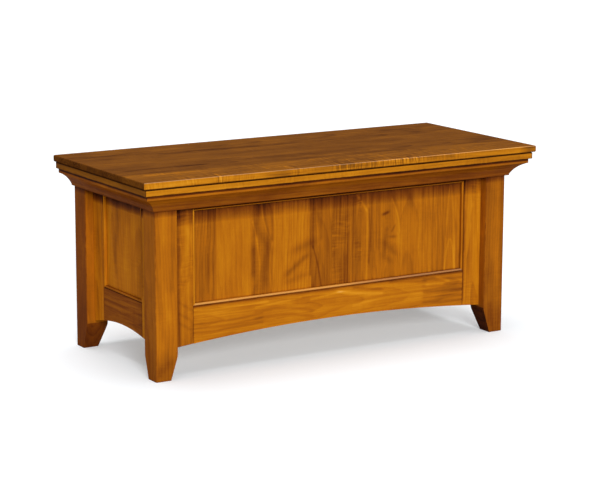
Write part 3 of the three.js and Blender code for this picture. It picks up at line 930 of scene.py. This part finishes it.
# Stain, glaze, painted shade and painted highlights, darker where positive. Each paint gives its value for
# points with their normals.
endGrain = 0.24


def thirstyEnds(node):  # end grain drinks more stain
    along = grainAxes(node)[0]
    return lambda points, normals: endGrain * towards(np.abs(normals[:, along]))


shades = {  # painted shade under the crown: how far down it reaches and how dark it is
    "post": (18 * mm, 0.30), "front": (44 * mm, 0.42), "back": (28 * mm, 0.20),
    "left": (32 * mm, 0.70), "right": (32 * mm, 0.70),
}
shadeCuts = (0, 0.2, 0.4, 0.7, 1)  # shares of that reach
shadeFade = 0.8  # under 1 it stays dark for longer


def shadeUnder(top, reach, dark):  # painted shade in the corner under a moulding, fading downwards
    return lambda points, normals: dark * step(points[:, 2], top - reach, top) ** shadeFade


def outerShare(node, points):  # 0 on a bead's outer side, 1 on its inner side
    wall = node.split("_")[0]
    depth = 1 if wall == "front" else 0
    low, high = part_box(node)
    outer, inner = (high, low) if wall == "right" else (low, high)
    return (points[:, depth] - outer[depth]) / (inner[depth] - outer[depth])


beadGlazeAndShade = {
    # how dark each side's flanks are: glaze along the foot, with painted shade
    "flanks": {"bottom": 0.12, "right": 0.22, "rear": 0.04, "left": 0.50, "front": 0.50},
    "flankShares": (0.06, 0.35),  # from the outer side inwards
    "foot": 0.10, "upper": 0.55, "upperShares": (0.26, 0.44),  # of a top bead, whose upper part is a painted shadow of the crown
}


def paintBeadGlazeAndShade(node):  # glaze and painted shade along the flanks leave the crest light, a painted highlight
    if not node.endswith("_bead_top"):
        dark = beadGlazeAndShade["flanks"][node.split("_")[-1]]
        return lambda points, normals: dark * step(outerShare(node, points), *beadGlazeAndShade["flankShares"])
    low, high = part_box(node)  # under the crown a painted shadow of the crown lies along the top instead

    def paint(points, normals):
        share = (points[:, 2] - low.z) / (high.z - low.z)
        return beadGlazeAndShade["foot"] + beadGlazeAndShade["upper"] * step(share, *beadGlazeAndShade["upperShares"])
    return paint


# Painted shade and highlight on the crown, darker where positive, from its foot (0) to its top (1): a shadow
# line at the foot, a highlight low on the fillet, and the rim's shadow over the fillet
crownShading = [(0.00, 0.10), (0.05, 0.00), (0.08, -0.03), (0.30, 0.01), (0.45, -0.05), (0.70, -0.11),
              (0.78, -0.11), (0.80, -0.13), (0.86, -0.13), (0.89, 0.22), (1.00, 0.30)]
crownEndLight = -0.04  # the ends get no more painted highlight than this
crownRight = 0.08  # how much darker the front is at its right end
crownCuts = (-0.3, 0, 0.3)  # along the front


def paintCrownShading(node):
    low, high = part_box(node)
    isFront = node == "crown_front"

    def paint(points, normals):
        share = (points[:, 2] - low.z) / (high.z - low.z)
        across = (points[:, 0] - low.x) / (high.x - low.x) if isFront else 0.5
        dark = np.interp(share, *zip(*crownShading)) + crownRight * across
        return dark if isFront else np.maximum(dark, crownEndLight)
    return paint


rimGapShade = {"reach": 3.2 * mm, "full": 2.2 * mm, "front": 0.60, "end": 0.34}  # painted shadow of the lid in the gap along its upper edge, over glaze in the joint


def paintRimGapShade(node):
    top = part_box(node)[1].z
    isFront = node == "rim_front"

    def paint(points, normals):
        level = step(points[:, 2], top - rimGapShade["reach"], top - rimGapShade["full"])
        crease = level * step(-normals[:, 2], -0.9, -0.5)  # not on top, where the lid lies
        return rimGapShade["front" if isFront else "end"] * crease
    return paint


postShade = {
    "front": {"outward": 0.07, "taper": 0.30},
    "rear": {"outward": 0.19, "taper": 0.24},
    "foot": 0.10, "footFades": (-90 * mm, -50 * mm),
}


def paintPostShade(node):  # painted shade: darker on the tapered sides of the foot, towards the bottom, and on faces towards the chest's ends
    # the painted shade for this post's row, front or rear
    stain = postShade[node.split("_")[1]]

    def paint(points, normals):
        taper = step(-normals[:, 2], 0.03, 0.12) * step(normals[:, 2], -1.0, -0.9)  # not underneath
        outward = towards(normals[:, 0] * np.sign(points[:, 0]))
        foot = step(-points[:, 2], *postShade["footFades"])
        return stain["taper"] * taper + postShade["foot"] * foot + stain["outward"] * outward
    return paint


def frontArris(normals):  # 1 on the round between the top and the front
    return step(np.minimum(normals[:, 2], -normals[:, 1]), 0.25, 0.50)


lidStainAndShade = {
    # the top is darker as painted shade; the ends as painted shade over the end grain
    "top": 0.42, "ends": 0.30,
    "foot": 0.35, "footHeight": 3 * mm, "footFade": 2 * mm,  # painted shadow along the foot, over the groove
    "front": 0.03, "frontRight": 0.16, "frontUpper": 0.10,  # more to the right and upwards
    # the arris: dark at the left end, a painted highlight towards the right
    "arris": 0.10, "arrisRight": -0.45,
}
# How dark the spots along the lid's front edge are, from its left end (0) to its right (1)
lidSpots = [(0.00, 0.08), (0.03, 0.00), (0.26, 0.00), (0.33, 0.16), (0.38, 0.03), (0.43, 0.10),
            (0.55, 0.05), (0.64, -0.04), (0.70, 0.01), (0.75, 0.05), (0.81, -0.02), (0.87, -0.04),
            (0.92, -0.12), (0.95, -0.10), (0.98, 0.14), (1.00, 0.05)]


def paintLidStainAndShade(node):  # the top painted darker than the front edge, as painted shade
    low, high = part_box(node)

    def paint(points, normals):
        share = (points[:, 0] - low.x) / (high.x - low.x)
        height = (points[:, 2] - low.z) / (high.z - low.z)
        spots = np.interp(share, *zip(*lidSpots))
        front = lidStainAndShade["front"] + lidStainAndShade["frontRight"] * share + lidStainAndShade["frontUpper"] * height + spots
        arris = lidStainAndShade["arris"] + lidStainAndShade["arrisRight"] * share + spots
        foot = step(low.z + lidStainAndShade["footHeight"] - points[:, 2], 0, lidStainAndShade["footFade"])
        return (lidStainAndShade["top"] * towards(normals[:, 2]) + lidStainAndShade["ends"] * towards(np.abs(normals[:, 0]))
                + arris * frontArris(normals) + front * towards(-normals[:, 1]) + lidStainAndShade["foot"] * foot)
    return paint


# Darker to the right: how dark, and from where to where. On the bottom bead this leaves a painted highlight
# on its left part.
dullRight = {
    "front_bead_bottom": (0.30, 0.02, 0.20), "front_rail_bottom": (0.06, 0.15, 0.35),
    "rim_front": (0.08, -0.14, 0.22),
}
dullCuts = {"front_bead_bottom": (0, 1 / 3, 2 / 3, 1), "rim_front": (0, 0.3, 0.7, 1)}  # shares of that way


def darkerRight(node):
    dark, start, end = dullRight[node]
    return lambda points, normals: dark * step(points[:, 0], start, end)


def veinOffset(spot, line, size):  # how far from the line, and how far past its ends
    start, end = (np.array(line[name]) / 100 * size for name in ("start", "end"))
    run = end - start
    length = math.hypot(*run)
    forth = (spot - start) @ run / length
    aside = (spot - start) @ np.array([-run[1], run[0]]) / length
    sway = line["sway"] * np.sin(math.pi * np.clip(forth / length, 0, 1))
    past = np.maximum(0, np.maximum(-forth, forth - length))
    return aside - sway, past / 2


def archOffset(spot, line, size):  # how far from a parabola that stands on the foot of the face
    middle, half = (line[name] / 100 * size[0] for name in ("at", "half"))
    tip = line["tip"] / 100 * size[1]
    across = spot[:, 0] - middle
    level = (across / half) ** 2 + spot[:, 1] / tip - 1
    slope = np.hypot(2 * across / half ** 2, 1 / tip)
    return level / slope, np.maximum(0, -spot[:, 1]) / 2


def figurePaint(node):
    plan = figures[node]
    strength = plan.get("strength", 1.0)
    axis, sign = plan["facing"]
    axes = [k for k in range(3) if k != axis]
    low, high = (np.array(corner)[axes] for corner in visibleBox(node))

    def paint(points, normals):
        total = np.zeros(len(points))
        facing = normals[:, axis] * sign > 0.9
        spot = points[facing][:, axes] - low
        for line in plan["lines"]:
            offset = veinOffset if "start" in line else archOffset
            aside, past = offset(spot, line, high - low)
            total[facing] += strength * line["dark"] * np.exp(-(aside ** 2 + past ** 2) / line["width"] ** 2)
        return total
    return paint


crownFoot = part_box("crown_front")[0].z
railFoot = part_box("front_rail_top")[0].z
railShadeUnderCrown = 0.20  # painted shade on the top rail's strip that shows under the crown


def paintsOf(node):
    paints = [thirstyEnds(node)]
    if node in figures:
        paints.append(figurePaint(node))
    if "_bead_" in node:
        paints.append(paintBeadGlazeAndShade(node))
    if node in dullRight:
        paints.append(darkerRight(node))
    if node.startswith("crown_"):
        paints.append(paintCrownShading(node))
    if node.startswith("rim_"):
        paints.append(paintRimGapShade(node))
    if node.endswith("_rail_top"):
        paints.append(lambda points, normals: railShadeUnderCrown)
    if node.startswith("post_"):
        paints += [paintPostShade(node), shadeUnder(crownFoot, *shades["post"])]
    if node == "lid_panel":
        paints.append(paintLidStainAndShade(node))
    wall = wallOf(node)
    if wall and ("_stile_" in node or node.endswith("_panel")):
        paints.append(shadeUnder(railFoot, *shades[wall]))
    return paints


def writeMarks(node, mesh):
    points, corner, face, centre = meshArrays(mesh)
    normals = faceNormals(mesh, face)
    total = sum(paint(points[corner], normals) for paint in paintsOf(node))
    writeAttribute(mesh, "mark", "FLOAT", "CORNER", total)


glintAndGlossShares = {"lid_panel": 0.45, "front_bead_bottom": 0.35}  # how strong the painted glint and its extra gloss are
crestShares = (-0.40, -0.15)  # outwards, across the bead


def writeGlintAndGloss(node, mesh):  # on the lid's front arris and the bead's crest
    points, corner, face, centre = meshArrays(mesh)
    if node == "lid_panel":
        place = frontArris(faceNormals(mesh, face))
    else:
        place = step(-outerShare(node, points[corner]), *crestShares)
    writeAttribute(mesh, "glintAndGloss", "FLOAT", "CORNER", glintAndGlossShares[node] * place)


# Small squares over the shown face of a board, for the figure painted on it
def gridFace(mesh, facing, spacing):
    bm = bmesh.new()
    bm.from_mesh(mesh)
    axis, sign = facing
    faces = [face for face in bm.faces if face.normal[axis] * sign > 0.9]
    parts = list({part for face in faces for part in (face, *face.edges, *face.verts)})
    places = [vert.co.copy() for face in faces for vert in face.verts]
    for side in (k for k in range(3) if k != axis):
        low = min(place[side] for place in places)
        high = max(place[side] for place in places)
        steps = round((high - low) / spacing)
        for i in range(1, steps):
            parts = cutFlat(bm, parts, side, low + (high - low) * i / steps)
    bm.to_mesh(mesh)
    bm.free()


def between(axis, start, end, shares):
    return [(axis, start + (end - start) * share) for share in shares]


def cutsOf(node, boards):  # where the paint needs corners
    low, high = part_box(node)
    cuts = [(grainAxes(node)[1], board["to"]) for board in boards[:-1]]
    if node == "lid_panel":
        cuts.append((2, low.z + lidStainAndShade["footHeight"]))
        cuts += between(0, low.x, high.x, [share for share, _ in lidSpots[1:-1]])
    if node.startswith("crown_"):
        cuts += between(2, low.z, high.z, [share for share, _ in crownShading[1:-1]])
        cuts += [(0, place) for place in crownCuts]
    if node.startswith("rim_"):
        cuts += [(2, high.z - rimGapShade[name]) for name in ("reach", "full")]
    if node in dullCuts:
        cuts += between(0, *dullRight[node][1:], dullCuts[node])
    wall = wallOf(node)
    shade = "post" if node.startswith("post_") else wall if wall and "_rail_" not in node else None
    if shade:
        top = crownFoot if shade == "post" else railFoot
        cuts += between(2, top, top - shades[shade][0], shadeCuts)
    for start, end, _ in curlZones.get(node, []):
        cuts += [(0, place) for place in (start, start + curlRun, end - curlRun, end)]
    return cuts


def dressWood(node):
    piece = easeEdges(node, mergedMesh(node))
    mesh = piece.data
    boards = boardsOf(node)
    cutAcross(mesh, cutsOf(node, boards))
    if node in figures:
        gridFace(mesh, figures[node]["facing"], figures[node]["spacing"])
    writeGrain(node, mesh, boards)
    writeEdges(node, mesh)
    writeGlazeAndShade(node, mesh)
    writeMarks(node, mesh)
    if node in glintAndGlossShares:
        writeGlintAndGloss(node, mesh)
    finishPiece(node, piece)


def finishPiece(node, piece):
    mesh = piece.data
    mesh.polygons.foreach_set("use_smooth", [True] * len(mesh.polygons))
    mesh.set_sharp_from_angle(angle=edges["smooth"])
    weighted = piece.modifiers.new("flat faces", "WEIGHTED_NORMAL")
    weighted.keep_sharp = True
    settle(piece)
    piece.data.materials.clear()
    piece.data.materials.append(finishes[slotOf[node]])
    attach(piece, bodyOf[node])
    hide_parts(node)


def dressFitting(node):
    piece = easeEdges(node, mergedMesh(node))
    writeEdges(node, piece.data)
    finishPiece(node, piece)


for node in sorted(nodes):
    if slotOf[node] in mapleLooks:
        dressWood(node)
    else:
        dressFitting(node)
print("boards and fittings dressed")


# Screws, seated in the countersunk holes of the leaves and standing proud of the battens

screws = {
    "head": 4.1 * mm, "shank": 2.1 * mm, "sink": 2.0 * mm, "length": 11 * mm,
    "slotWidth": 0.9 * mm, "slotDepth": 0.9 * mm,
    "slotLength": 1.3,  # times the head's radius
    "headSides": 24, "shankSides": 16, "seed": 5,
    "end": 13 * mm,  # end of a leaf to its screws
    "inner": 10 * mm,  # inner edge of a leaf to its inner screws
    "outer": 22 * mm,  # axis of the pin to the outer screws
    "face": 0.75 * mm,  # axis of the pin to the face of a leaf
    "setBack": 0.1 * mm,
    "proud": 1.0 * mm,
    "battenShares": (0.12, 0.5, 0.88),
}


def lowered(tree, solid, drop):
    return addNode(tree, "GeometryNodeTransform", {
        "Geometry": solid.outputs["Mesh"], "Translation": combine(tree, Z=drop),
    }).outputs[0]


def screwTree():
    tree = bpy.data.node_groups.new("countersunk_screws", "GeometryNodeTree")
    tree.interface.new_socket("Points", in_out="INPUT", socket_type="NodeSocketGeometry")
    for label in ("Head", "Shank", "Sink", "Length", "Slot Width", "Slot Depth", "Tilt"):
        tree.interface.new_socket(label, in_out="INPUT", socket_type="NodeSocketFloat")
    tree.interface.new_socket("Screws", in_out="OUTPUT", socket_type="NodeSocketGeometry")
    given = addNode(tree, "NodeGroupInput").outputs
    below = calc(tree, "MULTIPLY", given["Sink"], -1.0)
    cone = addNode(tree, "GeometryNodeMeshCone", {
        "Vertices": screws["headSides"], "Depth": given["Sink"],
        "Radius Top": given["Head"], "Radius Bottom": given["Shank"],
    })
    head = lowered(tree, cone, below)
    cut = addNode(tree, "GeometryNodeMeshBoolean", operation="DIFFERENCE", solver="EXACT")
    tree.links.new(head, cut.inputs["Mesh 1"])
    reach = calc(tree, "MULTIPLY", given["Head"], screws["slotLength"])
    deep = calc(tree, "MULTIPLY", given["Slot Depth"], 2.0)  # half of it stands over the head
    for across, along in ((given["Slot Width"], reach), (reach, given["Slot Width"])):
        bar = addNode(tree, "GeometryNodeMeshCube", {"Size": combine(tree, X=across, Y=along, Z=deep)})
        tree.links.new(bar.outputs["Mesh"], cut.inputs["Mesh 2"])
    shank = addNode(tree, "GeometryNodeMeshCylinder", {
        "Vertices": screws["shankSides"], "Radius": given["Shank"], "Depth": given["Length"],
    })
    whole = addNode(tree, "GeometryNodeJoinGeometry")
    tree.links.new(cut.outputs["Mesh"], whole.inputs[0])
    drop = calc(tree, "MULTIPLY_ADD", given["Length"], -0.5, below)
    tree.links.new(lowered(tree, shank, drop), whole.inputs[0])
    spin = addNode(tree, "FunctionNodeRandomValue", data_type="FLOAT")
    for socket in spin.inputs:
        if socket.enabled and socket.name == "Max":
            socket.default_value = math.pi
        if socket.enabled and socket.name == "Seed":
            socket.default_value = screws["seed"]
    turned = next(socket for socket in spin.outputs if socket.enabled)
    placed = addNode(tree, "GeometryNodeInstanceOnPoints", {
        "Points": given["Points"], "Instance": whole.outputs[0],
        "Rotation": combine(tree, X=given["Tilt"], Z=turned),
    })
    real = addNode(tree, "GeometryNodeRealizeInstances", {"Geometry": placed.outputs[0]})
    clad = addNode(tree, "GeometryNodeSetMaterial", {
        "Geometry": real.outputs[0], "Material": finishes["hinge_metal"],
    })
    tree.links.new(clad.outputs[0], addNode(tree, "NodeGroupOutput").inputs[0])
    return tree


def leafScrews(leaf, pin, side):  # side is 1 where the leaf's face looks up
    low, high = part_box(leaf)
    pinLow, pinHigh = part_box(pin)
    axisY, axisZ = (pinLow.y + pinHigh.y) / 2, (pinLow.z + pinHigh.z) / 2
    z = axisZ - side * (screws["face"] + screws["setBack"])
    return [(x, y, z) for x in (low.x + screws["end"], high.x - screws["end"])
            for y in (low.y + screws["inner"], axisY - screws["outer"])]


def battenScrews(batten):
    low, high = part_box(batten)
    return [((low.x + high.x) / 2, low.y + (high.y - low.y) * share, low.z - screws["proud"])
            for share in screws["battenShares"]]


def driveScrews(name, body, places, tilt):
    mesh = bpy.data.meshes.new(name)
    mesh.from_pydata(places, [], [])
    points = addToScene(name + "_places", mesh)
    modifier = points.modifiers.new("screws", "NODES")
    modifier.node_group = screwLayout
    sizes = {"Head": "head", "Shank": "shank", "Sink": "sink", "Length": "length",
             "Slot Width": "slotWidth", "Slot Depth": "slotDepth"}
    for socket in screwLayout.interface.items_tree:
        if socket.name in sizes:
            modifier[socket.identifier] = screws[sizes[socket.name]]
        if socket.name == "Tilt":
            modifier[socket.identifier] = tilt
    ready = points.evaluated_get(bpy.context.evaluated_depsgraph_get())
    piece = addToScene(name, bpy.data.meshes.new_from_object(ready))
    bpy.data.objects.remove(points)
    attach(piece, body)


screwLayout = screwTree()
hinges = [name[:-len("_pin")] for name in sorted(nodes) if name.endswith("_pin")]
caseScrews = [spot for hinge in hinges
              for spot in leafScrews(hinge + "_case_leaf", hinge + "_pin", 1)]
lidScrews = [spot for hinge in hinges
             for spot in leafScrews(hinge + "_lid_leaf", hinge + "_pin", -1)]
lidScrews += battenScrews("lid_batten_left") + battenScrews("lid_batten_right")
driveScrews("case_screws", "case", caseScrews, 0.0)
driveScrews("lid_screws", "lid", lidScrews, math.pi)
print("screws driven:", len(caseScrews) + len(lidScrews))


# Floor and light

studio = {
    "floorSize": 60.0,
    "floorWhite": (0.700, 0.728, 0.752),  # what the camera sees of the lit floor, besides its glow
    "floorGlow": 0.292,
    "floorBounce": 0.42,
    "air": 0.22,
    "lampAim": 0.3,
    "lampDistance": 4.0,
    "lamps": {
        "key": {"turn": -18, "rise": 20, "spread": 18, "strength": 2.35},
        "above": {"turn": 150, "rise": 87, "spread": 50, "strength": 2.2},
        "side": {"turn": -80, "rise": 16, "spread": 30, "strength": 0.40},
        "rear": {"turn": 180, "rise": 20, "spread": 40, "strength": 0.45},
    },
}


def seenRay(tree):  # 1 for rays from the camera, from gloss and through glass
    rays = addNode(tree, "ShaderNodeLightPath").outputs
    gloss = calc(tree, "MAXIMUM", rays["Is Glossy Ray"], rays["Is Transmission Ray"])
    return calc(tree, "MAXIMUM", rays["Is Camera Ray"], gloss)


def layFloor():
    half = studio["floorSize"] / 2
    mesh = bpy.data.meshes.new("studio_floor")
    corners = [(-half, -half, 0), (half, -half, 0), (half, half, 0), (-half, half, 0)]
    mesh.from_pydata(corners, [], [(0, 1, 2, 3)])
    floor = addToScene("studio_floor", mesh)
    material = bpy.data.materials.new("studio_floor")
    material.use_nodes = True
    tree = material.node_tree
    tree.nodes.clear()
    bounce = addNode(tree, "ShaderNodeBsdfDiffuse", {"Color": (*[studio["floorBounce"]] * 3, 1)})
    pale = addNode(tree, "ShaderNodeBsdfDiffuse", {"Color": (*studio["floorWhite"], 1)})
    glow = addNode(tree, "ShaderNodeEmission", {"Strength": studio["floorGlow"]})
    seen = addNode(tree, "ShaderNodeAddShader")
    tree.links.new(pale.outputs[0], seen.inputs[0])
    tree.links.new(glow.outputs[0], seen.inputs[1])
    mix = addNode(tree, "ShaderNodeMixShader", {"Fac": seenRay(tree)})
    tree.links.new(bounce.outputs[0], mix.inputs[1])
    tree.links.new(seen.outputs[0], mix.inputs[2])
    output = addNode(tree, "ShaderNodeOutputMaterial")
    tree.links.new(mix.outputs[0], output.inputs["Surface"])
    mesh.materials.append(material)


def hangLamp(name, lamp):
    light = bpy.data.lights.new(name, "SUN")
    light.energy = lamp["strength"]
    light.angle = math.radians(lamp["spread"])
    way = direction(math.radians(lamp["turn"]), math.radians(lamp["rise"]))
    holder = addToScene(name, light)
    holder.location = caseMiddle(studio["lampAim"]) + way * studio["lampDistance"]
    holder.rotation_euler = way.to_track_quat("Z", "Y").to_euler()


def fillAir():
    world = bpy.data.worlds.new("studio_air")
    bpy.context.scene.world = world
    world.use_nodes = True
    tree = world.node_tree
    background = tree.nodes["Background"]
    background.inputs["Color"].default_value = (1, 1, 1, 1)
    strength = ease(tree, seenRay(tree), 0.0, 1.0, studio["air"], 1.0)
    feed(tree, background.inputs["Strength"], strength)


layFloor()
for name, lamp in studio["lamps"].items():
    hangLamp(name, lamp)
fillAir()
print("floor and light set")
